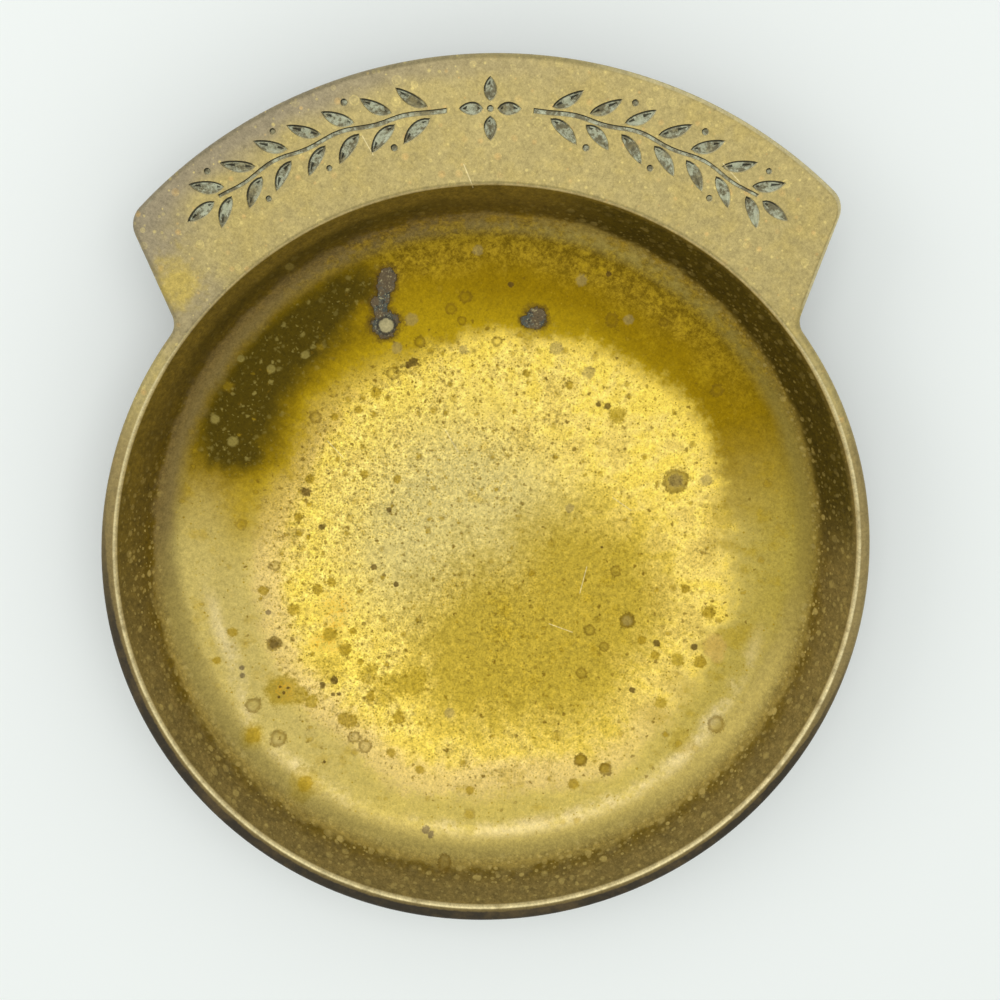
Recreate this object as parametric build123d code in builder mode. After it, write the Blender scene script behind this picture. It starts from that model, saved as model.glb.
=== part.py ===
from build123d import *
from math import cos, radians, sin, sqrt, tan
import os

os.makedirs("parts", exist_ok=True)

# A round cast brass dish for coins, with a curved plate standing out across its far side.
# It lies on its base: Z is up, X runs along the plate, and Y points from the dish to the plate.
# The origin is the middle of the underside of the felt, on the axis of the dish.

# The dish, seen from above
dish_diameter = 140.0
rim_width = 2.3  # the level ring on top of the wall, from its outer edge to the lip

# The hollow of the dish
wall_depth = 12.3  # from the lip down to the corner of wall and floor, before it is rounded
wall_slope = 60.0  # degrees from level
floor_rise = 4.5  # from the middle of the floor up to that corner
cove_radius = 9.0  # rounding of that corner
lip_break = 0.3  # the edge between rim and wall, worn flat

# The metal round the hollow
wall_thickness = 3.6
floor_thickness = 3.2  # in the middle, where it is thinnest
keel_radius = 12.0  # rounding of the outside, between wall and underside

# The plate, one casting with the dish and level with its rim
plate_width = 19.5  # in the middle, from the outside of the dish to the outer edge
plate_lead = 2.5  # how far beyond the axis of the dish the curve of the outer edge is centred
plate_span = 46.0  # degrees from the middle of that curve to each corner
plate_thickness = 3.6
plate_corner_radius = 4.3
side_lean = 21.0  # degrees that each end leans outwards
neck_radius = 3.5  # rounding where the ends run into the dish
edge_rounding = 1.3  # along the top of the outer edge of rim and plate
edge_break = 0.8  # along the bottom of it
plate_shift = 1.4  # the plate was cast slightly to one side
plate_turn = 1.3  # degrees, and slightly askew

# The foot ring, and the felt in the recess inside it
foot_inset = 23.0  # from the outside of the dish to the outside of the ring
foot_width = 4.0
foot_draft = 20.0  # degrees that the outside of the ring leans in on its way down
felt_thickness = 2.0
felt_proud = 1.0  # how far the felt stands out below the ring
felt_clearance = 0.4  # between the edge of the felt and the ring

overrun = 5.0  # how far the hollow is cut on above the rim

dish_radius = dish_diameter / 2
lip_radius = dish_radius - rim_width
floor_height = felt_thickness + floor_thickness
lip_height = floor_height + floor_rise + wall_depth
plate_underside = lip_height - plate_thickness

# The corner of wall and floor, and the large sphere that the shallow floor is part of
corner = Vector(lip_radius - wall_depth / tan(radians(wall_slope)), lip_height - wall_depth)
floor_sphere = (corner.X**2 + floor_rise**2) / (2 * floor_rise)
floor_centre = Vector(0, floor_height + floor_sphere)

# The same corner on the outside, a wall's thickness away from both faces
off_wall = Vector(sin(radians(wall_slope)), -cos(radians(wall_slope)))
off_floor = (corner - floor_centre).normalized()
keel = corner + (off_wall + off_floor) * (wall_thickness / (1 + off_wall.dot(off_floor)))

# The foot ring, whose root lies a wall's thickness below the floor
foot_radius = dish_radius - foot_inset
recess_radius = foot_radius - foot_width
foot_root_height = floor_centre.Y - sqrt(floor_sphere**2 - foot_radius**2) - wall_thickness
foot_root_radius = foot_radius + (foot_root_height - felt_proud) * tan(radians(foot_draft))

# The plate in its own frame: its right corner, and where the line of its right end crosses the X axis
plate_reach = dish_radius + plate_width
plate_radius = plate_reach - plate_lead
plate_corner = Vector(0, plate_radius).rotate(Axis.Z, -plate_span) + Vector(0, plate_lead)
plate_root = plate_corner.X - plate_corner.Y * tan(radians(side_lean))


with BuildSketch() as plate_outline:
    with BuildLine():
        ThreePointArc((-plate_corner.X, plate_corner.Y), (0, plate_reach), (plate_corner.X, plate_corner.Y))
        Polyline(
            (plate_corner.X, plate_corner.Y),
            (plate_root, 0),
            (-plate_root, 0),
            (-plate_corner.X, plate_corner.Y),
        )
    make_face()


with BuildPart() as tray_casting:
    # A solid bowl on its foot ring, up to where the rounding of the rim starts
    with BuildSketch(Plane.XZ) as outside:
        with BuildLine():
            Polyline(
                (0, lip_height - edge_rounding),
                (dish_radius, lip_height - edge_rounding),
                (dish_radius, plate_underside),
                (keel.X, keel.Y),
                (foot_root_radius, foot_root_height),
                (foot_radius, felt_proud),
                (recess_radius, felt_proud),
                (recess_radius, felt_thickness),
                (0, felt_thickness),
                close=True,
            )
        make_face()
        fillet(outside.vertices().sort_by_distance(keel)[0], keel_radius)
    revolve(axis=Axis.Z)

    # The plate and the rim, as one flange with rounded corners and necks
    with BuildSketch(Plane.XY.offset(plate_underside + edge_break)) as flange:
        Circle(dish_radius)
        with Locations((plate_shift, 0)):
            add(plate_outline.sketch, rotation=plate_turn)
        ends = flange.vertices().filter_by(lambda vertex: vertex.Y > 0).sort_by_distance((0, 0))
        fillet(ends[:2], neck_radius)
        ends = flange.vertices().filter_by(lambda vertex: vertex.Y > 0).sort_by_distance((0, 0))
        fillet(ends[-2:], plate_corner_radius)
    extrude(amount=plate_thickness - edge_break)
    extrude(flange.sketch, amount=edge_break, dir=(0, 0, -1), taper=45)
    fillet(tray_casting.faces().sort_by(Axis.Z)[-1].outer_wire().edges(), edge_rounding)

    # The hollow: a sloping wall, a cove and a floor that is part of a sphere
    with BuildSketch(Plane.XZ) as hollow:
        with BuildLine():
            TangentArc((0, floor_height), (corner.X, corner.Y), tangent=(1, 0))
            Polyline(
                (corner.X, corner.Y),
                (lip_radius + overrun / tan(radians(wall_slope)), lip_height + overrun),
                (0, lip_height + overrun),
                (0, floor_height),
            )
        make_face()
        fillet(hollow.vertices().sort_by_distance(corner)[0], cove_radius)
    revolve(axis=Axis.Z, mode=Mode.SUBTRACT)
    chamfer(tray_casting.faces().sort_by(Axis.Z)[-1].inner_wires()[0].edges(), lip_break)

tray_casting.part.label = "tray_casting"
export_step(tray_casting.part, "parts/tray_casting.step")


with BuildPart() as felt_pad:
    with BuildSketch():
        Circle(recess_radius - felt_clearance)
    extrude(amount=felt_thickness)

felt_pad.part.label = "felt_pad"
export_step(felt_pad.part, "parts/felt_pad.step")
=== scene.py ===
import math
import random

import bmesh
import bpy
from mathutils import Matrix, Vector, noise


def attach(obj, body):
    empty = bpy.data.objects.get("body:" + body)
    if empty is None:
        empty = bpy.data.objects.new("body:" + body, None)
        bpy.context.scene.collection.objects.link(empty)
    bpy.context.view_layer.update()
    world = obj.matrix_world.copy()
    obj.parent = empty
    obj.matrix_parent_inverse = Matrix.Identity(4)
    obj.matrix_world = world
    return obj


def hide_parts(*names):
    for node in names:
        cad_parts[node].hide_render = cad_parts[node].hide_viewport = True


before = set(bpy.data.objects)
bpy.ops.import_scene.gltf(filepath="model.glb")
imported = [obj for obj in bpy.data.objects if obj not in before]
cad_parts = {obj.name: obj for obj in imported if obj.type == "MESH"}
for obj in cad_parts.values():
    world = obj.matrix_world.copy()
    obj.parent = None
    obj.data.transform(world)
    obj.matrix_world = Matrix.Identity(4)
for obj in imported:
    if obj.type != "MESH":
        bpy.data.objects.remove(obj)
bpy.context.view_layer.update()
scene = bpy.context.scene
mm = 0.001

# helpers for meshes, all in millimetres until the end


def around(hub, start, end):
    # signed angle from start to end, seen from the hub
    a, b = start - hub, end - hub
    return math.atan2(a.x * b.y - a.y * b.x, a.dot(b))


def sweepVert(bm, vert, hub, angle, steps):
    # carries a vertex round the hub and leaves an arc of edges behind it
    spun = bmesh.ops.spin(bm, geom=[vert], cent=(hub.x, hub.y, vert.co.z), axis=(0, 0, 1),
                          angle=angle, steps=steps, use_merge=False, use_duplicate=False)
    return next(g for g in spun["geom_last"] if isinstance(g, bmesh.types.BMVert))


def lineTo(bm, vert, end, steps):
    # a straight run of edges to the end point
    for step in range(steps):
        vert = bmesh.ops.extrude_vert_indiv(bm, verts=[vert])["verts"][0]
        vert.co.xy = vert.co.xy.lerp(end, 1 / (steps - step))
    return vert


def growRing(bm, edges, place):
    # extrudes a loop of edges, and place says where each new vertex goes
    made = bmesh.ops.extrude_edge_only(bm, edges=edges)["geom"]
    verts = {g for g in made if isinstance(g, bmesh.types.BMVert)}
    for vert in verts:
        vert.co = place(vert.co)
    return [g for g in made if isinstance(g, bmesh.types.BMEdge) and verts.issuperset(g.verts)]


def onCircle(radius, height):
    return lambda co: Vector((*(co.xy.normalized() * radius), height))


def roundEdges(bm, test, offset, segments):
    # softens the edges whose two ends pass the test
    edges = [e for e in bm.edges if test(e.verts[0].co) and test(e.verts[1].co)]
    bmesh.ops.bevel(bm, geom=edges, offset=offset, offset_type="OFFSET", segments=segments,
                    profile=0.5, affect="EDGES", clamp_overlap=False, loop_slide=True, material=-1)


def near(radius, height, slack=0.01):
    return lambda co: abs(co.xy.length - radius) < slack and abs(co.z - height) < slack


def closeMiddle(bm, edges, height):
    # fills a small ring with triangles that meet in one pole
    face = bmesh.ops.edgeloop_fill(bm, edges=edges)["faces"]
    pole = bmesh.ops.poke(bm, faces=face)["verts"][0]
    pole.co = (0, 0, height)


def shade(mesh, sharpAngle=38):
    # smooth faces, with the edges sharper than the angle kept
    mesh.polygons.foreach_set("use_smooth", [True] * len(mesh.polygons))
    mesh.set_sharp_from_angle(angle=math.radians(sharpAngle))


def finishMesh(bm, name):
    # millimetres to metres, doubles merged and normals out
    bmesh.ops.remove_doubles(bm, verts=bm.verts, dist=0.002)
    bmesh.ops.recalc_face_normals(bm, faces=bm.faces)
    bmesh.ops.scale(bm, vec=(mm, mm, mm), verts=bm.verts)
    mesh = bpy.data.meshes.new(name)
    bm.to_mesh(mesh)
    bm.free()
    shade(mesh)
    piece = bpy.data.objects.new(name, mesh)
    scene.collection.objects.link(piece)
    return piece


# the casting: dish, rim and plate

dish = {
    "rimRadius": 70.1,
    "lipRadius": 67.7,
    "rimHub": (-0.16, -0.6),   # the outside of the rim was turned slightly off the axis
    "topHeight": 22.0,
    "cornerRadius": 60.6,   # where wall and floor would meet
    "cornerHeight": 9.7,
    "floorHeight": 5.2,
    "floorSphere": 410.3,   # radius of the shallow floor
    "coveOffset": 4.35,
    "lipRounding": 0.35,
    "edgeRounding": 1.2,
    "keel": (62.9, 6.4),
    "keelOffset": 5.7,
    "footRoot": (48.2, 4.3),
    "footOuter": (47.0, 1.0),
    "footInner": (43.0, 1.0),
    "recessHeight": 2.0,
    "floorRings": (52, 46.5, 41, 35.5, 30, 24.5, 19, 13.5, 8, 3),
    "underRings": (36, 28, 20, 12, 4),
    "footRootRounding": 0.8,
    "footOuterRounding": 0.4,
    "footInnerRounding": 0.3,
    "outerEdgeFrom": 69.0,  # edges of the top beyond this radius belong to the outer edge
    "skirtRise": 1.2,       # how far above the plate's underside the outside of the rim ends
    "underReach": 66.5,     # the bowl starts at this radius, and a share of the outline's beyond it
    "underFollow": 0.05,
    "wallNormal": (0.866, 0.5),   # the wall slopes 60 degrees
    "steps": 212,
}

plate = {
    "underside": 18.4,
    "radius": 87.0,
    "lead": 2.5,            # the curve's centre lies this far beyond the dish's axis
    "span": 46.0,
    "lean": 21.0,
    "shift": 1.4,
    "turn": 1.3,
    "cornerRadius": 4.3,
    "neckRadius": 3.5,
    "steps": 96,
    "endSteps": 10,
    "neckSteps": 6,
    "cornerSteps": 7,
    "bandWidth": 0.07,      # of the flat faces beside the roundings
    "gridCuts": 5,
}


def touchingHub(point, along, off, hub, reach):
    # centre of a rounding that stays off to the right of a line and at reach from a hub
    start = point + Vector((along.y, -along.x)) * off
    gap = start - hub
    half = gap.dot(along)
    return start + along * (math.sqrt(half * half - gap.length_squared + reach * reach) - half)


def plateOutline(bm):
    turn = Matrix.Rotation(math.radians(plate["turn"]), 2)
    shift = Vector((plate["shift"], 0))
    plateHub = turn @ Vector((0, plate["lead"])) + shift
    axis = Vector(dish["rimHub"])
    span, lean = math.radians(plate["span"]), math.radians(plate["lean"])
    ends = []
    for side in (1, -1):
        point = Vector((side * plate["radius"] * math.sin(span), plate["radius"] * math.cos(span) + plate["lead"]))
        point = turn @ point + shift
        along = turn @ Vector((side * math.sin(lean), math.cos(lean)))
        neckOff, cornerOff = side * plate["neckRadius"], -side * plate["cornerRadius"]
        neck = touchingHub(point, along, neckOff, axis, dish["rimRadius"] + plate["neckRadius"])
        corner = touchingHub(point, along, cornerOff, plateHub, plate["radius"] - plate["cornerRadius"])
        across = Vector((along.y, -along.x))
        ends.append({
            "neckHub": neck,
            "onDish": axis + (neck - axis).normalized() * dish["rimRadius"],
            "lineStart": neck - across * neckOff,
            "lineEnd": corner - across * cornerOff,
            "cornerHub": corner,
            "onCurve": plateHub + (corner - plateHub).normalized() * plate["radius"],
        })
    right, left = ends
    vert = bmesh.ops.create_vert(bm, co=(*left["onDish"], dish["topHeight"]))["vert"][0]
    whole = 2 * math.pi

    def sweep(hub, start, end, steps):
        return sweepVert(bm, vert, hub, around(hub, start, end), steps)

    vert = sweepVert(bm, vert, axis, around(axis, left["onDish"], right["onDish"]) % whole, dish["steps"])
    vert = sweep(right["neckHub"], right["onDish"], right["lineStart"], plate["neckSteps"])
    vert = lineTo(bm, vert, right["lineEnd"], plate["endSteps"])
    vert = sweep(right["cornerHub"], right["lineEnd"], right["onCurve"], plate["cornerSteps"])
    vert = sweep(plateHub, right["onCurve"], left["onCurve"], plate["steps"])
    vert = sweep(left["cornerHub"], left["onCurve"], left["lineEnd"], plate["cornerSteps"])
    vert = lineTo(bm, vert, left["lineStart"], plate["endSteps"])
    vert = sweep(left["neckHub"], left["lineStart"], left["onDish"], plate["neckSteps"])
    bmesh.ops.remove_doubles(bm, verts=bm.verts, dist=0.01)
    return list(bm.edges)


def floorAt(radius):
    return dish["floorHeight"] + dish["floorSphere"] - math.sqrt(dish["floorSphere"] ** 2 - radius ** 2)


def plateShare(co):
    # 0 on the round of the dish, 1 out on the plate
    share = min(max((co.xy.length - dish["rimRadius"]) / 3, 0), 1)
    return share * share * (3 - 2 * share)


def castingMesh():
    bm = bmesh.new()
    outline = plateOutline(bm)
    print("outline of the flange:", len(outline), "edges")
    top, under = dish["topHeight"], plate["underside"]

    def inwards(co):
        reach = min(co.xy.length, dish["underReach"] + dish["underFollow"] * co.xy.length)
        return Vector((*(co.xy.normalized() * reach), under))

    # down the outside to the middle of the underside
    ring = growRing(bm, outline, lambda co: Vector((*co.xy, under + dish["skirtRise"] * (1 - plateShare(co)))))
    ring = growRing(bm, ring, inwards)
    for radius, height in (dish["keel"], dish["footRoot"], dish["footOuter"], dish["footInner"]):
        ring = growRing(bm, ring, onCircle(radius, height))
    for radius in (dish["footInner"][0], *dish["underRings"]):
        ring = growRing(bm, ring, onCircle(radius, dish["recessHeight"]))
    closeMiddle(bm, ring, dish["recessHeight"])

    # over the lip, down the wall and over the floor
    ring = growRing(bm, outline, onCircle(dish["lipRadius"], top))
    ring = growRing(bm, ring, onCircle(dish["cornerRadius"], dish["cornerHeight"]))
    for radius in dish["floorRings"]:
        ring = growRing(bm, ring, onCircle(radius, floorAt(radius)))
    closeMiddle(bm, ring, dish["floorHeight"])
    bmesh.ops.recalc_face_normals(bm, faces=bm.faces)

    # roundings
    roundEdges(bm, lambda co: abs(co.z - top) < 0.01 and co.xy.length > dish["outerEdgeFrom"],
               dish["edgeRounding"], 6)
    roundEdges(bm, near(dish["lipRadius"], top), dish["lipRounding"], 3)
    roundEdges(bm, near(dish["cornerRadius"], dish["cornerHeight"]), dish["coveOffset"], 10)
    roundEdges(bm, near(*dish["keel"]), dish["keelOffset"], 10)
    roundEdges(bm, near(*dish["footRoot"]), dish["footRootRounding"], 3)
    roundEdges(bm, near(*dish["footOuter"]), dish["footOuterRounding"], 3)
    roundEdges(bm, near(*dish["footInner"]), dish["footInnerRounding"], 2)

    # narrow bands of flat faces beside the roundings, and a grid between them on the plate
    flat = [f for f in bm.faces if f.normal.z > 0.9999 and f.calc_center_median().z > top - 0.01]
    bmesh.ops.inset_region(bm, faces=flat, thickness=plate["bandWidth"], use_even_offset=True, use_boundary=True)
    across = [e for e in bm.edges if e.calc_length() > 5 and min(v.co.z for v in e.verts) > top - 0.01]
    bmesh.ops.subdivide_edges(bm, edges=across, cuts=plate["gridCuts"], use_grid_fill=True)
    return bm


# the ornament cut into the plate: two laurel sprigs and a small flower

ornament = {
    "midRadius": 80.2,
    "mouth": 0.4,           # how far the cutting tools stand above the plate
    "flare": 0.13,          # the worn edge of each cut
    "depth": 0.5,
    "draft": 0.16,
    "keelDepth": 0.42,
    "leaf": (6.3, 2.25),
    "leafAngle": 37,
    "tailGap": 0.95,        # from the middle of the stem to the tail of a leaf
    "firstPair": 7.6,
    "pairStep": 4.45,
    "pairs": 7,
    "stemSpan": (5.3, 35.6),
    "stemWidth": 0.95,
    "stemWave": 0.32,
    "stemSteps": 34,
    "tipGap": 0.75,         # degrees from the end of the stem to the leaf at its tip
    "berryRadius": 0.62,
    "berryTurn": 0.62,      # degrees on from the pair of leaves
    "berryLift": 4.75,
    "petal": (4.3, 2.4),
    "petalGap": 1.15,       # from the middle of the flower to each petal
    "bandHalf": 7.1,        # how far it reaches to either side of its middle line
    "bandSlope": 0.93,      # x over y at its ends
    "steep": (0.05, 0.75),  # the normal of a cut's wall has a z between these
    "light": (-0.45, 0.8, 0),
    "seed": 4,
}


def sinkTool(bm, faces, slim=1.0):
    # flat faces above the plate become a closed tool with a flared mouth and a drafted wall
    made = bmesh.ops.extrude_face_region(bm, geom=faces)["geom"]
    floor = [g for g in made if isinstance(g, bmesh.types.BMFace)]

    def sink(distance):
        bmesh.ops.translate(bm, verts=list({v for f in floor for v in f.verts}), vec=(0, 0, -distance))

    sink(ornament["mouth"])
    for inset, distance in ((ornament["flare"], ornament["flare"]), (ornament["draft"], ornament["depth"] * 0.85),
                            (ornament["draft"] * 1.3, ornament["depth"] * 0.15)):
        bmesh.ops.inset_region(bm, faces=floor, thickness=inset * slim, use_even_offset=True)
        sink(distance * slim)
    return floor


def plateSpot(side, degrees, lift=0.0):
    # a point on the ornament's middle line, with the ways along the line and outwards there
    a = math.radians(degrees)
    out = Vector((side * math.sin(a), math.cos(a)))
    along = Vector((side * math.cos(a), -math.sin(a)))
    return out * (ornament["midRadius"] + lift), along, out


def leafTool(bm, tail, way, hand, size, bend=0.0):
    # a pointed leaf from its tail; hand says to which side it curves
    length, width = size
    outline = bmesh.ops.create_circle(bm, cap_ends=True, radius=1, segments=20)["verts"]
    across = Vector((-way.y, way.x)) * hand
    for vert in outline:
        t = 1 - abs(math.atan2(vert.co.y, vert.co.x)) / math.pi
        half = width / 2 * (4 * t * (1 - t)) ** 0.8 * (1.12 - 0.3 * t) if 0.01 < t < 0.99 else 0
        flat = tail + way * (length * t) + across * (math.copysign(half, vert.co.y) + bend * 4 * t * (1 - t))
        vert.co = (*flat, dish["topHeight"] + ornament["mouth"])
    face = list(outline[0].link_faces)
    if hand < 0:
        bmesh.ops.reverse_faces(bm, faces=face)
    floor = sinkTool(bm, face)

    # the floor falls to a keel along the middle of the leaf
    made = bmesh.ops.extrude_face_region(bm, geom=floor)["geom"]
    lowest = next(g for g in made if isinstance(g, bmesh.types.BMFace))
    loop = sorted(enumerate(lowest.verts), key=lambda pair: (pair[1].co.xy - tail).dot(way))
    first, half = loop[0][0], len(loop) // 2
    for index, vert in loop:
        t = 1 - abs((index - first) % len(loop) - half) / half
        vert.co.xy = tail + way * (length * (0.06 + 0.88 * t)) + across * (bend * 4 * t * (1 - t))
        vert.co.z -= ornament["keelDepth"] * (4 * t * (1 - t)) ** 0.5
    bmesh.ops.delete(bm, geom=[*floor, lowest], context="FACES_ONLY")


def dotTool(bm, centre, radius):
    ring = bmesh.ops.create_circle(bm, cap_ends=True, radius=radius, segments=14,
                                   matrix=Matrix.Translation((*centre, dish["topHeight"] + ornament["mouth"])))
    sinkTool(bm, list(ring["verts"][0].link_faces), slim=0.8)


def stemTool(bm, side):
    first, last = ornament["stemSpan"]
    centre, _, out = plateSpot(side, first)
    half = ornament["stemWidth"] / 2
    height = dish["topHeight"] + ornament["mouth"]
    pair = [bmesh.ops.create_vert(bm, co=(*(centre + out * off), height))["vert"][0] for off in (-half, half)]
    edge = bm.edges.new(pair)
    before = set(bm.faces)
    bmesh.ops.spin(bm, geom=[*pair, edge], cent=(0, 0, height), axis=(0, 0, 1), steps=ornament["stemSteps"],
                   angle=math.radians(first - last) * side, use_merge=False, use_duplicate=False)
    faces = [f for f in bm.faces if f not in before]
    for vert in {v for f in faces for v in f.verts}:
        degrees = math.degrees(math.atan2(side * vert.co.x, vert.co.y))
        share = (degrees - first) / (last - first)
        off = vert.co.xy.length - ornament["midRadius"]
        wave = ornament["stemWave"] * math.sin(math.pi * (degrees - ornament["firstPair"]) / ornament["pairStep"])
        reach = ornament["midRadius"] + off * (1 - 0.3 * share) + wave * min(1, 4 * share)
        vert.co.xy = vert.co.xy.normalized() * reach
    sinkTool(bm, faces, slim=0.6)


def ornamentTools():
    chance = random.Random(ornament["seed"])
    bm = bmesh.new()
    length, width = ornament["leaf"]
    for side in (1, -1):
        stemTool(bm, side)
        for pair in range(ornament["pairs"]):
            degrees = ornament["firstPair"] + pair * ornament["pairStep"]
            for rise in (1, -1):
                spot, along, out = plateSpot(side, degrees + chance.uniform(-0.15, 0.15), rise * ornament["tailGap"])
                lean = math.radians(ornament["leafAngle"] + chance.uniform(-2.5, 2.5))
                way = along * math.cos(lean) + out * math.sin(lean) * rise
                size = (length * chance.uniform(0.94, 1.04), width * chance.uniform(0.93, 1.06))
                leafTool(bm, spot, way, side * rise, size, bend=-0.35)
                berry, _, _ = plateSpot(side, degrees + ornament["berryTurn"], rise * ornament["berryLift"])
                if (pair + (rise > 0)) % 2 and pair:
                    dotTool(bm, berry, ornament["berryRadius"] * chance.uniform(0.9, 1.1))
        spot, along, _ = plateSpot(side, ornament["stemSpan"][1] + ornament["tipGap"])
        leafTool(bm, spot, along, side, (length * 0.95, width), bend=0)
    spot, along, out = plateSpot(1, 0)
    dotTool(bm, spot, ornament["berryRadius"])
    for way in (along, -along, out, -out):
        leafTool(bm, spot + way * ornament["petalGap"], way, 1, ornament["petal"])
    bmesh.ops.remove_doubles(bm, verts=bm.verts, dist=0.002)
    bmesh.ops.holes_fill(bm, edges=bm.edges, sides=0)
    return finishMesh(bm, "ornamentTools")


def cutAway(piece, tools):
    # takes the tools' shape out of the piece for good
    cut = piece.modifiers.new("cut", "BOOLEAN")
    cut.operation, cut.solver, cut.object = "DIFFERENCE", "EXACT", tools
    done = piece.evaluated_get(bpy.context.evaluated_depsgraph_get())
    piece.data = bpy.data.meshes.new_from_object(done)
    piece.data.name = piece.name
    piece.modifiers.clear()
    bpy.data.objects.remove(tools)
    shade(piece.data)


def markCuts(mesh):
    # how far the steep faces of the cuts turn to the light (up to 1) or away from it (down to -1), for the painted
    # shade and painted highlights on their walls
    light = Vector(ornament["light"])
    least, most = ornament["steep"]
    facing = mesh.attributes.new("cutFacing", "FLOAT", "FACE")
    for face in mesh.polygons:
        x, y, z = face.center / mm
        offLine = abs(math.hypot(x, y) - ornament["midRadius"])
        inBand = offLine < ornament["bandHalf"] and abs(x) < ornament["bandSlope"] * y
        if inBand and least < face.normal.z < most and z < dish["topHeight"] - 0.01:
            facing.data[face.index].value = face.normal.dot(light)


casting = finishMesh(castingMesh(), "brassCasting")
print("casting:", len(casting.data.polygons), "faces")
cutAway(casting, ornamentTools())
markCuts(casting.data)
print("casting with its ornament:", len(casting.data.polygons), "faces")


# helpers for materials


def tone(red, green, blue):
    # a colour given in 0 to 255, as the linear colour that a socket holds
    return (*(((c / 255 + 0.055) / 1.055) ** 2.4 if c > 10 else c / 3295 for c in (red, green, blue)), 1)


class Wire:
    # a socket that can stand in a sum; every other node comes from node()
    def __init__(self, tree, socket=None):
        self.tree, self.socket = tree, socket

    def node(self, kind, settings, inputs, output=0):
        made = self.tree.nodes.new(kind)
        for name, value in settings.items():
            setattr(made, name, value)
        for name, value in inputs.items():
            if isinstance(value, Wire):
                self.tree.links.new(value.socket, made.inputs[name])
            else:
                made.inputs[name].default_value = value
        return Wire(self.tree, made.outputs[output] if made.outputs else None)

    def other(self, name):
        # another output of the same node
        return Wire(self.tree, self.socket.node.outputs[name])

    def sum(self, operation, *values):
        return self.node("ShaderNodeMath", {"operation": operation}, dict(enumerate(values)))

    def __add__(self, value):
        return self.sum("ADD", self, value)

    def __sub__(self, value):
        return self.sum("SUBTRACT", self, value)

    def __rsub__(self, value):
        return self.sum("SUBTRACT", value, self)

    def __mul__(self, value):
        return self.sum("MULTIPLY", self, value)

    def __truediv__(self, value):
        return self.sum("DIVIDE", self, value)

    __radd__, __rmul__ = __add__, __mul__


def between(value, low, high):
    # 0 at low, 1 at high, eased; low may be the larger
    return value.node("ShaderNodeMapRange", {"interpolation_type": "SMOOTHSTEP"},
                      {"Value": value, "From Min": low, "From Max": high})


def over(under, top, share):
    return share.node("ShaderNodeMix", {"data_type": "RGBA"}, {0: share, 6: under, 7: top}, 2)


def larger(a, b):
    return a.sum("MAXIMUM", a, b)


def cloud(place, size, detail, rough=0.55):
    # soft noise from 0 to 1 whose largest forms are about size across
    return place.node("ShaderNodeTexNoise", {"noise_dimensions": "3D"},
                      {"Vector": place, "Scale": 1 / size, "Detail": detail, "Roughness": rough})


def moved(place, by=(0, 0, 0), stretch=(1, 1, 1), turn=0.0):
    return place.node("ShaderNodeMapping", {},
                      {"Vector": place, "Location": by, "Scale": stretch, "Rotation": (0, 0, turn)})


def spots(place, cell, share, size, soft):
    # round marks and the rings at their edges, at most one to a cell; share of the cells have one
    reach = place.node("ShaderNodeTexVoronoi", {"voronoi_dimensions": "2D"},
                       {"Vector": place, "Scale": 1 / cell}, "Distance")
    pick = reach.node("ShaderNodeSeparateColor", {}, {"Color": reach.other("Color")}, "Red")
    girth, depth = pick.other("Green"), pick.other("Blue") * 0.7 + 0.3
    radius = girth * girth * (size[1] - size[0]) + size[0]
    there = between(pick, share, share - 0.03) * depth
    disc = between(reach, radius, radius * (1 - soft)) * there
    ring = between(reach, radius * 0.6, radius * 0.9) * between(reach, radius * 1.15, radius * 0.95) * there
    return disc, ring


def scaled(colour, factor):
    return colour.node("ShaderNodeVectorMath", {"operation": "SCALE"}, {0: colour, "Scale": factor}, "Vector")


def newMaterial(name):
    made = bpy.data.materials.new(name)
    made.use_nodes = True
    made.node_tree.nodes.clear()
    wire = Wire(made.node_tree)
    place = wire.node("ShaderNodeTexCoord", {}, {}, "Object")
    inMm = place.node("ShaderNodeVectorMath", {"operation": "SCALE"}, {0: place, "Scale": 1 / mm})
    return made, inMm


def finishMaterial(made, colour, rough, metal, height):
    # height is in millimetres
    bump = height.node("ShaderNodeBump", {}, {"Height": height, "Distance": mm, "Strength": 1.0}, "Normal")
    sockets = {"Base Color": colour, "Roughness": rough, "Metallic": metal, "Normal": bump}
    shader = height.node("ShaderNodeBsdfPrincipled", {}, sockets)
    shader.node("ShaderNodeOutputMaterial", {}, {"Surface": shader})
    return made


# old satin brass: worn bright on the floor, tarnished on the wall, spotted all over, with light and shade painted
# into its colour: painted shade on the far side, in the cove, on the wall and on the near edge of the rim, and
# painted highlights and reflections on the floor, along the lip and on edges

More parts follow.
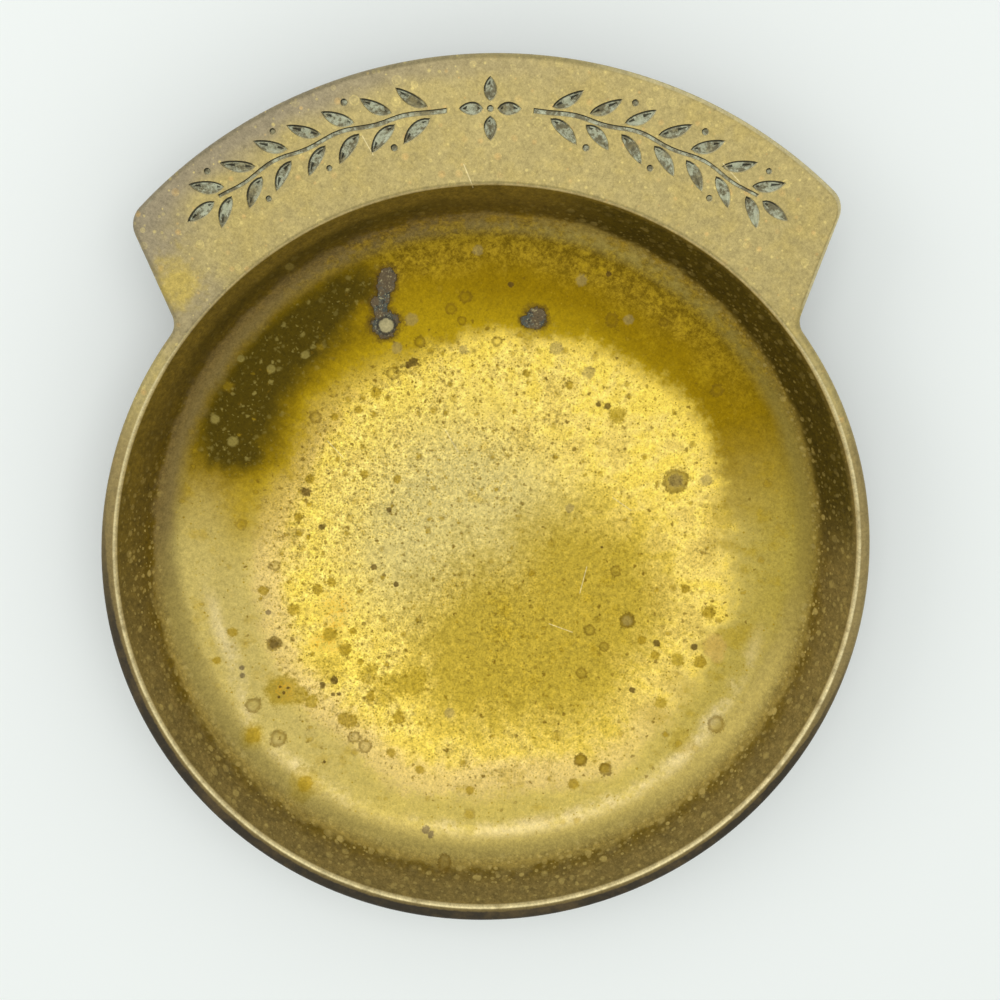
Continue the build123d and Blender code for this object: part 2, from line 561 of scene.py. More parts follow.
brass = {
    "centre": (216, 197, 124),
    "golden": (186, 159, 50),
    "bright": (250, 218, 92),
    "palePatch": (251, 222, 124),
    "blush": (232, 201, 132),
    "outer": (198, 176, 90),
    "outerLeft": (198, 177, 100),
    "outerRight": (172, 151, 62),
    "coveHighlight": (238, 218, 168),
    "cove": (174, 154, 84),
    "shadeAndTarnish": (176, 146, 16),
    "deepShaded": (146, 117, 3),
    "mottleLight": (172, 142, 34),
    "mottleDark": (116, 92, 12),
    "darkPatch": (76, 62, 8),
    "greyBrown": (142, 122, 72),
    "foot": (182, 162, 84),
    "footRight": (156, 136, 62),
    "footShade": (112, 92, 14),
    "wall": (136, 118, 66),
    "wallFar": (112, 94, 34),
    "wallUpper": (126, 106, 38),
    "wallGreen": (80, 67, 6),
    "plate": (174, 157, 102),
    "plateGold": (178, 156, 82),
    "plateGrey": (146, 134, 108),
    "plateYellow": (198, 172, 66),
    "plateRing": (216, 196, 122),
    "plateWarm": (206, 170, 104),
    "lip": (236, 220, 168),
    "rim": (146, 127, 80),
    "rimShade": (112, 94, 56),
    "patinaAndShade": (44, 37, 24),
    "patinaWarm": (84, 68, 38),
    "footEdge": (146, 126, 70),
    "grain": (166, 136, 28),
    "speck": (116, 90, 16),
    "olive": (170, 142, 26),
    "rust": (200, 148, 34),
    "tan": (206, 168, 92),
    "pit": (92, 70, 26),
    "markGrey": (158, 138, 84),
    "paleSpot": (148, 132, 66),
    "wallSpot": (200, 180, 108),
    "verdigris": (184, 188, 162),
    "verdigrisDark": (118, 112, 86),
    "cutBare": (150, 138, 96),
    "grimeAndShade": (40, 38, 26),
    "edgeHighlight": (226, 212, 164),
    "crust": (104, 88, 62),
    "crustPale": (186, 174, 126),
    "blueGrey": (76, 82, 76),
}

# where its look changes, in mm: radii from the axis and heights, each from none to full
zones = {
    "floor": (61, 57),
    "coveStart": (57.5, 60.5),
    "lineInner": (54.8, 57.2),      # painted highlight line in the cove
    "lineOuter": (59.8, 57.4),
    "wall": (60.5, 62.5),
    "wallTone": (62.0, 63.1),
    "footInner": (61.9, 62.7),      # painted shade along the foot of the wall
    "footOuter": (64.8, 62.8),
    "belowFloor": (-1.0, -1.8),     # from the floor and from the wall to the outside of the bowl
    "behindWall": (1.2, 2.0),
    "belowRim": (20.9, 20.3),
    "topHeight": (20.6, 21.2),
    "topRadius": (67.2, 67.4),
    "lipInner": (67.25, 67.5),
    "lipOuter": (68.15, 67.85),
    "rimEdge": (69.75, 70.1),
    "bandInner": (73.2, 73.8),      # the ornament, and the heights of its cuts
    "bandOuter": (87.4, 86.8),
    "sunkTop": (21.95, 21.8),
    "sunkBottom": (19.4, 20.0),
    "footRing": (1.5, 1.1),
}
# middles on the floor, x and y in mm: its bright part, the golden patch, and the pale button at the end of a crust
brightMiddle, brightReach = (3.2, -3.8), (47, 42)
goldenMiddles = ((4, -21), (19, -12), (12, -21.5))
buttonMiddle, buttonRadius = (-18.7, 41.7), 1.35

# marks on the floor by kind: tone, how strong, look, then x, y and radius of each in mm
blemishes = [
    ("olive", 0.75, "soft", [
        (-39.6, -28.5, 3.4), (-36.5, -29.5, 2.0), (-34.2, -30.8, 1.4), (24.6, 24.5, 1.7), (36.9, -23.6, 1.4),
        (33.7, -32.3, 1.2)]),
    ("olive", 0.6, "soft", [(-19.5, -29, 3.4), (-14.5, -27.5, 2.8), (-23, -26, 2.2)]),
    ("olive", 0.4, "soft", [
        (38, -40, 2.6), (-35.7, -46.8, 3.2), (-45.4, -36.8, 2.4), (-30.5, -24.5, 3.0), (44, 5, 3)]),
    ("rust", 0.65, "mottled", [
        (-32.3, -19.2, 2.2), (-29.9, -19.7, 2.0), (-29.1, -12.4, 3.2), (-29.4, -15.3, 2.6), (-39.6, -28.5, 2.2)]),
    ("grain", 0.8, "soft", [
        (-37.2, -12.7, 1.3), (-42.8, -8.7, 1.0), (-45.4, -36.8, 1.6), (-35.7, -46.8, 1.5), (-51.9, -21.9, 0.8),
        (-48.8, -16.5, 1), (-18.9, -41.6, 1.1), (-26.8, -35.0, 1.6), (-28.2, -34.6, 1.2), (-22.7, -30.2, 1.1),
        (-29.9, -7.5, 1), (-32.6, -8.8, 1.1), (-17.4, -34.7, 1.4), (42.7, -14.2, 1.3), (41.3, -24.0, 1.3),
        (18.1, -43.7, 1.2), (16.9, -48.5, 1.1), (15.5, 30.2, 0.9), (7.3, 32.6, 0.8), (-20.8, 29.1, 1.1),
        (-24.1, 25.9, 0.8), (-28.5, 24.6, 0.9), (-23.3, 13.6, 0.9), (-17.1, 12.4, 0.9), (-33.5, 12.8, 0.9),
        (-35.8, 5.4, 0.9), (-13.4, -45.2, 1), (-3.6, -49.5, 0.9), (30.0, -19.7, 0.9), (32.6, -22.7, 1),
        (22.8, -45.3, 1.1), (-30.6, -17.8, 1.5), (-27.6, -20.9, 1.3), (-26.0, -17.2, 0.8), (-24.6, -23.4, 0.7),
        (38.2, -9.5, 0.9)]),
    ("speck", 0.6, "ring", [
        (-40.6, -3.8, 1.0), (-45.2, -31.1, 1.4), (-40.6, -37.8, 1.5), (-26.1, -38.3, 1.1), (19.9, -17.8, 1),
        (18.3, -26.3, 1), (22.7, -21.1, 0.9), (44.5, -36.3, 1.5), (-4.1, 46.9, 1.1), (23.1, 42.6, 1.2),
        (-4.7, 42.5, 0.8), (-12.6, 38.6, 1), (-17.5, 32.8, 1.2), (1.8, 38.6, 0.9), (43.1, 29.4, 1.1),
        (32.7, 42.1, 0.8), (-32.1, 24.6, 1.1),
        (-8.7, -62.2, 1.2), (-6.7, 44.7, 1), (24.8, -6.0, 1), (-24.0, -40.1, 1.2)]),
    ("markGrey", 0.6, "soft", [
        (27.1, -15.9, 1.1), (26.1, 42.6, 0.95), (12.8, 37.2, 1.3), (19.0, 32.7, 1.3), (41.6, 12.0, 1.2),
        (17.3, 50.0, 1.1), (-14.0, 42.8, 1.2), (-16.8, 37.5, 1.1), (-4.4, 37.1, 0.9), (15.8, 6.4, 0.9),
        (-7.4, -34.0, 1.1), (-1.8, 55.5, 1.0)]),
    ("tan", 0.5, "soft", [(44.1, -20.5, 2.3), (43.4, -21.9, 1.4), (44.4, -22.5, 1.6)]),
    ("crust", 0.75, "soft", [
        (35.9, 11.8, 1.5), (-12.3, -56.9, 0.9), (-11.3, -57.8, 0.7), (-47.2, -23.6, 0.5), (-47.2, -25.1, 0.5),
        (-42.0, -13.0, 0.6)]),
    ("pit", 0.85, "soft", [
        (-29.7, -26.8, 0.8), (-32.0, -27.7, 0.7), (-30.0, -29.6, 0.45), (-28.9, -29.6, 0.45), (-41.1, -19.2, 1),
        (-34.3, 10.3, 1.0), (-31.5, 3.4, 0.7), (-18.7, 6.5, 0.5), (32.9, -20.3, 0.7), (40.1, -21.0, 0.7),
        (28.2, -29.7, 0.65), (20.9, 26.6, 0.6), (22.7, 26.3, 0.65), (4.3, 49.2, 0.55), (22.3, 51.1, 0.55),
        (-13.7, 34.7, 0.9), (-14.6, 34.3, 0.7), (-31.9, -42.9, 0.3), (-17.6, -8.2, 0.6), (-21.8, -4.7, 0.7),
        (22.1, -1.3, 0.3), (-40.1, -27.7, 0.35), (-39.4, -28.9, 0.35), (-40.4, -29.7, 0.3), (-38.6, -28.0, 0.3)]),
    ("speck", 0.7, "ring", [
        (27.1, -15.9, 1.4), (35.9, 11.8, 2.2), (23.0, -45.5, 1.2), (-41.1, -19.2, 1.3), (18.1, -43.7, 1.2)]),
    ("paleSpot", 0.8, "soft", [
        (-40.0, 33.9, 0.8), (-33.7, 36.4, 0.8), (-45.4, 35.9, 0.7), (-35.6, 53.0, 0.8), (-50.5, 24.7, 0.9),
        (-47.5, 20.3, 1.0)]),
]

# hard crusts stuck to the floor, each along a line: x, y at its two ends, radius in mm
crusts = [
    (-18.2, 51.0, -18.7, 48.9, 1.5), (-18.7, 49.0, -19.6, 44.5, 1.15), (-20.2, 45.9, -19.6, 44.4, 1.3),
    (-18.6, 42.2, -19.1, 41.7, 2.2), (8.9, 43.1, 9.1, 42.9, 1.9), (7.4, 42.4, 7.6, 42.3, 1.2)]

# fine scratches: x, y at both ends, in mm
scratches = [
    (-4.6, 70.8, -3.0, 66.9), (19.2, -5.2, 17.9, -10.4), (12.0, -16.5, 16.5, -18.2), (-8.0, 22.0, -5.5, 17.5),
    (24.0, 8.5, 27.5, 6.0), (-30.0, 20.0, -27.2, 16.8), (40.5, 71.0, 43.5, 67.8), (-22.0, 75.6, -20.2, 72.4)]


def brassMaterial():
    made, place = newMaterial("agedBrass")
    x = place.node("ShaderNodeSeparateXYZ", {}, {0: place}, "X")
    y, z = x.other("Y"), x.other("Z")
    flat = place.node("ShaderNodeCombineXYZ", {}, {"X": x, "Y": y})
    cutFacing = place.node("ShaderNodeAttribute", {"attribute_name": "cutFacing"}, {}, "Fac")
    t = {name: tone(*value) for name, value in brass.items()}

    drift = cloud(place, 26, 2) - 0.5
    ragged = cloud(place, 5, 3, 0.6) - 0.5
    patchy = cloud(place, 2.4, 3, 0.7) - 0.5
    grit = cloud(moved(place, turn=0.6), 0.9, 4, 0.85) - 0.5
    hair = cloud(moved(place, (0, 7, 0), turn=1.9), 0.42, 2, 0.8) - 0.5

    # places shifted a little every which way, which makes spots ragged
    stray = flat.node("ShaderNodeTexNoise", {"noise_dimensions": "2D"},
                      {"Vector": flat, "Scale": 1.1, "Detail": 3.0}, "Color")
    ruffled = flat.node("ShaderNodeVectorMath", {"operation": "MULTIPLY_ADD"},
                        {0: stray, 1: (1.0, 1.0, 0), 2: flat}, "Vector")

    def fromPoint(cx, cy):
        return flat.node("ShaderNodeVectorMath", {"operation": "DISTANCE"}, {0: flat, 1: (cx, cy, 0)}, "Value")

    def nearest(reaches):
        least = reaches[0]
        for reach in reaches[1:]:
            least = least.sum("MINIMUM", least, reach)
        return least

    def fromLine(ax, ay, bx, by):
        # distance from the stretch between two points
        length = math.dist((ax, ay), (bx, by))
        wayX, wayY = (bx - ax) / length, (by - ay) / length
        along = (x - ax) * wayX + (y - ay) * wayY
        along = along.sum("MINIMUM", larger(along, 0.0), length)
        foot = along.node("ShaderNodeCombineXYZ", {}, {"X": along * wayX + ax, "Y": along * wayY + ay})
        return flat.node("ShaderNodeVectorMath", {"operation": "DISTANCE"}, {0: flat, 1: foot}, "Value")

    radius = fromPoint(0, 0)

    def toward(degrees, none, full, ease=0.3):
        # 1 where the way out from the middle is within full of degrees, 0 beyond none
        a = math.radians(degrees)
        facing = (x * math.cos(a) + y * math.sin(a)) / radius + (drift + ragged * 0.4) * ease
        return between(facing, math.cos(math.radians(none)), math.cos(math.radians(full)))

    # everything that lies outside the hollow and below the rounding of the rim
    belowFloor = z - radius * radius * (1 / (2 * dish["floorSphere"])) - dish["floorHeight"]
    outwards, upwards = dish["wallNormal"]
    behindWall = (radius - dish["cornerRadius"]) * outwards - (z - dish["cornerHeight"]) * upwards
    outside = larger(between(belowFloor, *zones["belowFloor"]),
                     between(behindWall, *zones["behindWall"]) * between(z, *zones["belowRim"]))

    # the floor, from its outside inwards
    loose = radius + drift * 9 + ragged * 6 + patchy * 3 + grit * 2
    farSide, nearSide = toward(90, 92, 62), toward(268, 92, 60)
    leftSide, rightSide = toward(190, 65, 25), toward(5, 62, 20)
    patchSide = toward(137, 32, 6, 0.2)
    colour = over(t["outer"], t["outerLeft"], leftSide)
    colour = over(colour, t["outerRight"], rightSide * between(loose, 46, 56) * 0.8)
    # the far side of the floor is darker: painted shade with some tarnish, mottled towards the wall
    shadeAndTarnish = over(t["shadeAndTarnish"], t["deepShaded"], between(loose, 42, 49))
    colour = over(colour, shadeAndTarnish, farSide)
    mottle = over(t["mottleDark"], t["mottleLight"], between(ragged * 0.4 + patchy * 1.1 + grit * 1.9, -0.3, 0.32))
    colour = over(colour, mottle, toward(84, 62, 26) * between(loose, 49, 55) * 0.8)
    # the bright part of the floor is worn brass with a painted reflection of the light; on the near side it reaches
    # further out as a painted highlight
    spread = toward(225, 130, 60)
    reach = fromPoint(*brightMiddle) + drift * 11 + ragged * 7 + patchy * 6 + grit * 5
    brightShare = between(reach, spread * 4 + brightReach[0], spread * -5 + brightReach[1])
    bright = over(t["bright"], t["palePatch"], between(drift * 0.6 + ragged * 0.9 + patchy * 0.7, -0.15, 0.3))
    colour = over(colour, bright, brightShare)
    fringe = between(brightShare + ragged * 0.5, 0.0, 0.35) * between(brightShare + ragged * 0.5, 1.0, 0.6)
    colour = over(colour, t["blush"], fringe * toward(222, 112, 66) * 0.55)
    centreShare = between(fromPoint(-5, 3) + drift * 14 + ragged * 9 + patchy * 4, 32, 10)
    colour = over(colour, t["centre"], centreShare * 0.9)
    goldenReach = nearest([fromPoint(*middle) for middle in goldenMiddles])
    goldenShare = between(goldenReach + drift * 12 + ragged * 8 + patchy * 6 + grit * 8, 27, 10)
    colour = over(colour, t["golden"], goldenShare * 0.92)

    # soft patches of tarnish, then on the upper left painted shade and tarnish that deepen into a dark patch
    onFloor = between(radius, *zones["floor"]) * (1 - outside)
    olive = between(ragged + drift * 0.5 + patchy * 0.3, 0.04, 0.24)
    colour = over(colour, t["shadeAndTarnish"], olive * onFloor * 0.4)
    soft = radius + drift * 8 + ragged * 3 + patchy * 1.5
    veil = toward(138, 52, 22, 0.2) * between(soft, 33, 44) * between(soft, 54, 47)
    colour = over(colour, t["shadeAndTarnish"], veil * 0.7)
    patch = patchSide * between(soft, 39, 55) * between(radius, 62, 54)
    colour = over(colour, t["deepShaded"], between(patch, 0.0, 0.4) * 0.8)
    colour = over(colour, t["darkPatch"], between(patch + ragged * 0.2 + patchy * 0.15, 0.08, 0.75) * 0.96)

    # the cove: darker than the floor, partly painted shade, with a painted highlight line along its foot
    footStart = radius + ragged * 2 + patchy * 1.2 + nearSide * 1.6
    foot = over(t["foot"], t["greyBrown"], toward(135, 70, 30))
    foot = over(foot, t["footRight"], rightSide)
    foot = over(foot, t["cove"], nearSide)
    foot = over(foot, mottle, toward(80, 60, 30) * between(ragged + patchy, -0.15, 0.2) * 0.7)
    colour = over(colour, foot, between(footStart, *zones["coveStart"]) * 0.92)
    wander = radius + drift * 2 + ragged * 1.6 + patchy * 1.2 + grit
    wander = wander + toward(192, 26, 6) * 3.6 + toward(345, 30, 8) * 1.4
    line = between(wander, *zones["lineInner"]) * between(wander, *zones["lineOuter"]) * toward(264, 84, 64, 0.1)
    colour = over(colour, t["coveHighlight"], line * between(patchy + drift * 2 + ragged, -0.3, 0.4) * 0.48)

    # the wall: tarnished, and darker still with painted shade, most on the far side and in dark green bands high on
    # the far wall
    uneven = radius + ragged * 1.4 + patchy * 1.2 + grit * 0.6 - nearSide * 0.9
    wallTone = over(t["wall"], t["wallFar"], toward(100, 105, 60))
    wallTone = over(wallTone, t["wallUpper"], toward(118, 62, 40) * between(z, 15.5, 18.5))
    darkRight = toward(40, 46, 26, 0.12) * between(z + ragged * 2, 11.5, 13.0) * between(z, 21.2, 20.2)
    wallTone = over(wallTone, t["wallGreen"], darkRight * 0.92)
    darkBand = between(z + ragged * 2, 14, 15.5) * between(z, 18.6, 16.6)
    wallTone = over(wallTone, t["wallGreen"], toward(122, 34, 16, 0.15) * darkBand * 0.6)
    colour = over(colour, wallTone, between(uneven, *zones["wallTone"]))
    # painted shade along the foot of the wall, in wisps
    footShade = between(uneven, *zones["footInner"]) * between(uneven + patchy * 2, *zones["footOuter"])
    colour = over(colour, t["footShade"], footShade * between(ragged + patchy, -0.25, 0.2) * 0.85 * (1 - darkRight))
    wallShare = between(radius, *zones["wall"]) * (1 - outside)
    colour = scaled(colour, wallShare * (ragged * 0.5 + patchy * 0.6 + grit * 0.9) + 1)

    # dark specks, thickest and finest on the bright part of the floor
    thick = between(drift * 1.2 - x * 0.009 + ragged * 0.8 + patchy * 0.5, -0.1, 0.35)
    speckArea = brightShare * (1 - goldenShare * 0.55) * (thick * 0.9 + 0.45)
    fine, _ = spots(flat, 0.62, speckArea * 0.9 + 0.14, (0.18, 0.5), 0.8)
    colour = over(colour, t["grain"], fine * onFloor * (1 - patch))
    speck, _ = spots(moved(ruffled, (5, 3, 0)), 1.35, speckArea * 0.9 + 0.08, (0.1, 0.42), 0.6)
    colour = over(colour, t["speck"], speck * onFloor * 0.8)
    dot, dotRing = spots(moved(ruffled, (17, 29, 0)), 2.9, speckArea * 0.9 + 0.14, (0.05, 0.28), 0.5)
    colour = over(colour, t["grain"], dot * onFloor * 0.85)
    colour = over(colour, t["speck"], dotRing * onFloor * 0.4)
    blot, blotRing = spots(moved(ruffled, (40, 11, 0)), 8.5, 0.4, (0.05, 0.15), 0.5)
    colour = over(colour, t["grain"], blot * onFloor * 0.65)
    colour = over(colour, t["speck"], blotRing * onFloor * 0.35)

    # pale spots: small and close on the dark patch, in clusters along the wall
    spotted = between(ragged + drift, -0.2, 0.1)
    inPatch = patch * onFloor
    pale, _ = spots(moved(ruffled, (3, 60, 0)), 2.1, 0.85, (0.08, 0.36), 0.7)
    colour = over(colour, t["paleSpot"], pale * inPatch * 0.9)
    tiny, _ = spots(moved(ruffled, (31, 8, 0)), 0.95, 0.65, (0.14, 0.42), 0.7)
    colour = over(colour, t["paleSpot"], tiny * inPatch * spotted * 0.8)
    onWall = wallShare * between(z, 21.3, 20.4) * (1 - toward(120, 58, 34) * 0.85)
    lowWall = between(z + ragged * 6, 19, 13.5)
    along = x.sum("ARCTAN2", x, y * -1) * dish["rimRadius"]
    unrolled = along.node("ShaderNodeCombineXYZ", {}, {"X": along + patchy, "Y": z * 1.3 + ragged})
    big, _ = spots(unrolled, 2.7, 0.85, (0.12, 0.4), 0.45)
    lit = onWall * (1 - darkRight * 0.5)
    colour = over(colour, t["wallSpot"], big * lit * (lowWall * 0.6 + 0.5) * (spotted * 0.5 + 0.6))
    mid, _ = spots(moved(unrolled, (31, 8, 0)), 1.4, 0.8, (0.14, 0.42), 0.5)
    colour = over(colour, t["wallSpot"], mid * lit * (spotted * 0.6 + 0.4) * (lowWall * 0.5 + 0.5))

    # the rim and the plate
    top = over(t["plate"], t["plateGold"], between(cloud(place, 8, 3, 0.6) + patchy * 0.8, 0.4, 0.75) * 0.3)
    top = over(top, t["plateGrey"], between(radius + drift * 9 + ragged * 3, 82.5, 87.5) * between(x, 30, -40) * 0.95)
    top = over(top, t["plateGrey"], between(fromPoint(-64, 58) + ragged * 12, 16, 5) * 0.9)
    top = over(top, t["plateGrey"], between(fromPoint(-52, 46) + ragged * 9, 11, 3) * 0.6)
    ringDisc, ring = spots(moved(flat, (0, 0, 2)), 3.4, 0.5, (0.06, 0.26), 0.8)
    top = over(top, t["plateRing"], ringDisc * 0.35 + ring * 0.4)
    small, _ = spots(moved(flat, (9, 14, 0)), 1.5, 0.4, (0.08, 0.3), 0.7)
    top = over(top, t["plateRing"], small * 0.7)
    warm, warmRing = spots(moved(flat, (21, 33, 0)), 3.1, 0.42, (0.06, 0.22), 0.7)
    top = over(top, t["plateWarm"], warm * 0.7 + warmRing * 0.4)
    top = over(top, t["plateYellow"], between(fromPoint(-54.5, 51) + ragged * 12 + patchy * 8, 6, 0) * 0.6)
    top = scaled(top, patchy * 0.14 + grit * 0.16 + 1)
    nearRim = toward(258, 98, 62, 0.06)
    top = over(top, t["rim"], toward(269, 116, 106, 0) * 0.8)
    top = over(top, t["rimShade"], nearRim * between(radius, 67.8, 68.5) * 0.75)
    onTop = between(z, *zones["topHeight"]) * between(radius, *zones["topRadius"])
    colour = over(colour, top, onTop)
    # a bright line along the inner edge of the lip: its worn edge, with a painted highlight
    lipEnd = radius + toward(90, 66, 44, 0) * 0.35
    lipLine = between(radius, *zones["lipInner"]) * between(lipEnd, *zones["lipOuter"])
    colour = over(colour, t["lip"], lipLine * between(patchy + ragged, -0.5, 0.1) * onTop * 0.8)
    # a painted highlight along the rounded edge of the plate's right end
    brightEdge = toward(40, 42, 30, 0) * between(radius, 71, 73) * between(z, 21.0, 21.6) * between(z, 21.97, 21.85)
    colour = over(colour, t["edgeHighlight"], brightEdge * 0.6)

    # dark patina outside and underneath, worn along the foot ring; on the near edge of the rim the same dark is
    # painted shade
    edgeStart = radius + patchy * 0.7 + nearRim * 1.35
    dark = larger(outside, between(edgeStart, *zones["rimEdge"]) * nearRim * between(y, 40, 30))
    patinaAndShade = over(t["patinaAndShade"], t["patinaWarm"], between(cloud(place, 7, 4, 0.65) + patchy * 0.4, 0.42, 0.72) * 0.8)
    colour = over(colour, patinaAndShade, dark * 0.95)
    colour = over(colour, t["footEdge"], between(z + patchy * 0.5, *zones["footRing"]) * outside * 0.8)

    # verdigris in the ornament, painted shade along the side of each cut that turns from the light and a painted
    # highlight along the side that turns to it
    inBand = between(radius, *zones["bandInner"]) * between(radius, *zones["bandOuter"]) * toward(90, 44, 43, 0)
    sunk = between(z, *zones["sunkTop"]) * between(z, *zones["sunkBottom"]) * inBand
    bed = over(t["verdigrisDark"], t["verdigris"], between(patchy * 1.3 + grit, -0.12, 0.14))
    bed = over(bed, t["cutBare"], between(ragged + grit * 0.6, 0.06, 0.2) * 0.7)
    colour = over(colour, bed, sunk * 0.92)
    colour = over(colour, t["grimeAndShade"], between(cutFacing, -0.2, -0.45) * 0.9)
    colour = over(colour, t["edgeHighlight"], between(cutFacing, 0.25, 0.5) * between(z, 21.7, 21.9) * 0.7)

    # the larger marks, with ragged edges
    marked = colour
    ragEdge = patchy * 0.9 + grit * 0.8 + hair * 0.5

    for name, strength, look, marks in blemishes:
        reach = nearest([fromPoint(cx, cy) / size for cx, cy, size in marks]) + ragEdge
        if look == "ring":
            mark = between(reach, 1.3, 0.95) * (1 - between(reach, 0.85, 0.5) * 0.65)
        elif look == "mottled":
            mark = between(reach, 1.5, 0.4) * between(grit * 1.4 + hair * 1.4 + patchy * 0.4, -0.02, 0.2)
        else:
            mark = between(reach, 1.2, 0.7)
        marked = over(marked, t[name], mark * strength)

    crustReach = nearest([fromLine(*ends) / size for *ends, size in crusts]) + patchy * 1.1 + grit * 0.9
    crustShare = between(crustReach, 1.08, 0.9)
    crustTone = over(t["crust"], t["blueGrey"], between(patchy + ragged + grit * 0.8 + hair * 0.6, 0.0, 0.14))
    crustTone = over(crustTone, t["crustPale"], between(grit + hair * 1.2, 0.1, 0.26) * 0.7)
    crustTone = over(crustTone, t["grimeAndShade"], between(patchy * 0.8 + grit - hair, 0.08, 0.24) * 0.8)
    marked = over(marked, t["pit"], between(crustReach, 1.7, 1.0) * 0.7)
    marked = over(marked, crustTone, crustShare * 0.95)
    button = fromPoint(*buttonMiddle) / buttonRadius + grit * 0.8
    marked = over(marked, t["grimeAndShade"], between(button, 1.5, 1.2) * crustShare * 0.7)
    marked = over(marked, t["crustPale"], between(button, 1.1, 0.8) * 0.9)
    colour = over(colour, marked, between(z, 17, 16) * (1 - outside))

    # scratches, and fine grain over everything
    scratch = nearest([fromLine(*ends) for ends in scratches])
    colour = over(colour, t["lip"], between(scratch + grit * 0.1, 0.13, 0.04) * (1 - outside) * 0.55)
    lively = brightShare * onFloor * (thick * 1.1 + 0.6)
    colour = scaled(colour, grit * (lively + 1.1) + hair * (lively * 0.6 + 0.6) + patchy * (lively * 0.3 + 0.2) + 1)

    rough = 0.42 + wallShare * 0.08 + sunk * 0.3 + dark * 0.12 + drift * 0.08 + crustShare * onFloor * 0.3
    metal = 0.92 - wallShare * 0.15 - sunk * 0.85 - dark * 0.4 - crustShare * onFloor * 0.6
    height = grit * 0.015 + ragged * 0.012 + crustShare * onFloor * 0.12
    return finishMaterial(made, colour, rough, metal, height)


casting.data.materials.clear()
casting.data.materials.append(brassMaterial())
for face in casting.data.polygons:
    face.material_index = 0
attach(casting, "root")
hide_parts("tray_casting")
print("brass done")


# the felt disc in the foot ring

felt = {
    "radius": 42.6,
    "thickness": 2.0,
    "edgeRounding": 0.45,
    "steps": 160,
    "rings": 9,
    "fluff": 0.09,          # how far its faces rise and fall
    "waves": 0.35,          # the larger, the shorter
}


def feltMesh():
    bm = bmesh.new()
    bmesh.ops.create_circle(bm, cap_ends=True, radius=felt["radius"], segments=felt["steps"])
    raised = bmesh.ops.extrude_face_region(bm, geom=list(bm.faces))["geom"]
    upper = [g for g in raised if isinstance(g, bmesh.types.BMVert)]
    bmesh.ops.translate(bm, verts=upper, vec=(0, 0, felt["thickness"]))
    bmesh.ops.holes_fill(bm, edges=bm.edges, sides=0)
    bmesh.ops.recalc_face_normals(bm, faces=bm.faces)
    roundEdges(bm, lambda co: co.xy.length > 1, felt["edgeRounding"], 3)
    caps = [f for f in bm.faces if abs(f.normal.z) > 0.999]
    ringWidth = felt["radius"] / (felt["rings"] + 1)
    for _ in range(felt["rings"]):
        bmesh.ops.inset_individual(bm, faces=caps, thickness=ringWidth, use_even_offset=True)
    bmesh.ops.poke(bm, faces=caps)
    for vert in bm.verts:
        inward = min(vert.co.z, felt["thickness"] - vert.co.z)
        wave = (noise.noise(vert.co * felt["waves"]) + 1) * felt["fluff"]
        if inward < 0.01:
            vert.co.z += wave if vert.co.z < 1 else -wave
        elif vert.co.xy.length > 42:
            vert.co.xy -= vert.co.xy.normalized() * wave * 0.6
    return bm


feltPad = finishMesh(feltMesh(), "feltDisc")


def feltMaterial():
    made, place = newMaterial("greenFelt")
    fibres = cloud(moved(place, stretch=(1, 0.25, 1)), 0.35, 4, 0.7)
    fluff = cloud(place, 3.5, 4, 0.6)
    colour = over(tone(26, 62, 42), tone(52, 98, 68), between(fibres * 0.6 + fluff * 0.4, 0.35, 0.7))
    height = fibres * 0.12 + fluff * 0.1
    return finishMaterial(made, colour, fluff * 0.05 + 0.92, 0.0, height)


feltPad.data.materials.append(feltMaterial())
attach(feltPad, "root")
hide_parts("felt_pad")

# studio: pale floor, soft lamps, camera

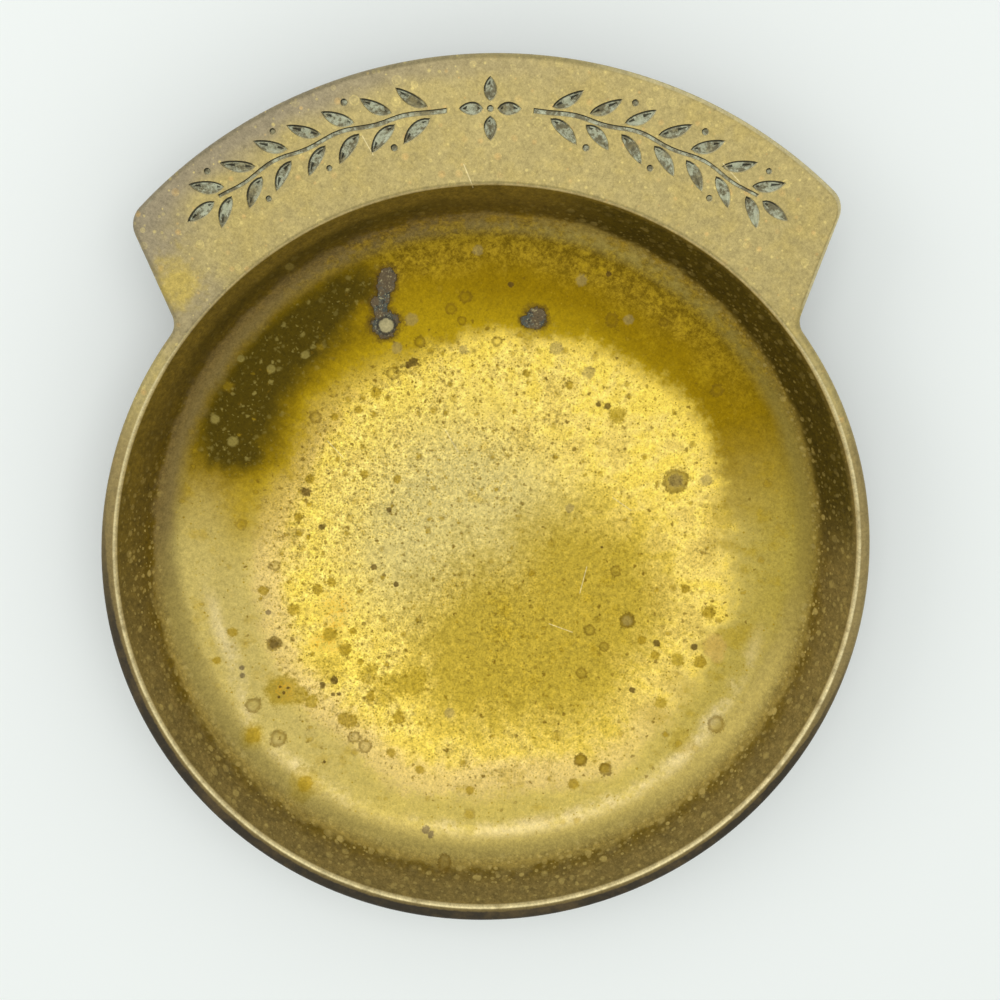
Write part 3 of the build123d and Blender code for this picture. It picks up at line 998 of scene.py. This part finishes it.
studio = {
    "floorSize": 6.0,
    "floorGap": 0.0001,     # keeps the floor clear of the felt
    "floorTone": (242, 245, 243),
    "floorRoughness": 0.8,
    "worldTone": (226, 229, 227),
    "worldStrength": 0.94,
    "cameraPlace": (-0.01179, 0.07061, 0.30422),
    "cameraTurn": (-0.205998, -0.047586, 0),
    "lens": 57.6,
}


def addFloor():
    bm = bmesh.new()
    bmesh.ops.create_grid(bm, x_segments=2, y_segments=2, size=studio["floorSize"] / 2)
    bmesh.ops.translate(bm, verts=bm.verts, vec=(0, 0, -studio["floorGap"]))
    mesh = bpy.data.meshes.new("floor")
    bm.to_mesh(mesh)
    bm.free()
    floor = bpy.data.objects.new("floor", mesh)
    scene.collection.objects.link(floor)
    made, place = newMaterial("paleFloor")
    shader = place.node("ShaderNodeBsdfPrincipled", {},
                        {"Base Color": tone(*studio["floorTone"]), "Roughness": studio["floorRoughness"]})
    shader.node("ShaderNodeOutputMaterial", {}, {"Surface": shader})
    mesh.materials.append(made)


def addLamp(name, place, aim, size, power):
    lamp = bpy.data.lights.new(name, "AREA")
    lamp.shape, lamp.size, lamp.size_y, lamp.energy = "RECTANGLE", *size, power
    lampObject = bpy.data.objects.new(name, lamp)
    lampObject.location = place
    lampObject.rotation_euler = (Vector(aim) - Vector(place)).to_track_quat("-Z", "Y").to_euler()
    lampObject.visible_camera = False
    scene.collection.objects.link(lampObject)


addFloor()
addLamp("overhead", (0.05, 0.25, 0.95), (0, 0, 0), (0.9, 0.6), 2.6)
addLamp("side", (-0.8, 0.3, 0.7), (0, 0, 0), (0.5, 0.5), 1.2)

world = bpy.data.worlds.new("paleRoom")
world.use_nodes = True
world.node_tree.nodes.clear()
wire = Wire(world.node_tree)
room = wire.node("ShaderNodeBackground", {},
                 {"Color": tone(*studio["worldTone"]), "Strength": studio["worldStrength"]})
room.node("ShaderNodeOutputWorld", {}, {"Surface": room})
scene.world = world

camera = bpy.data.objects.new("camera", bpy.data.cameras.new("camera"))
camera.data.lens = studio["lens"]
camera.data.sensor_width = 36
camera.data.clip_start = 0.01
camera.location = studio["cameraPlace"]
camera.rotation_euler = studio["cameraTurn"]
scene.collection.objects.link(camera)
scene.camera = camera

scene.view_settings.view_transform = "Standard"

print("camera, lamps and floor done")
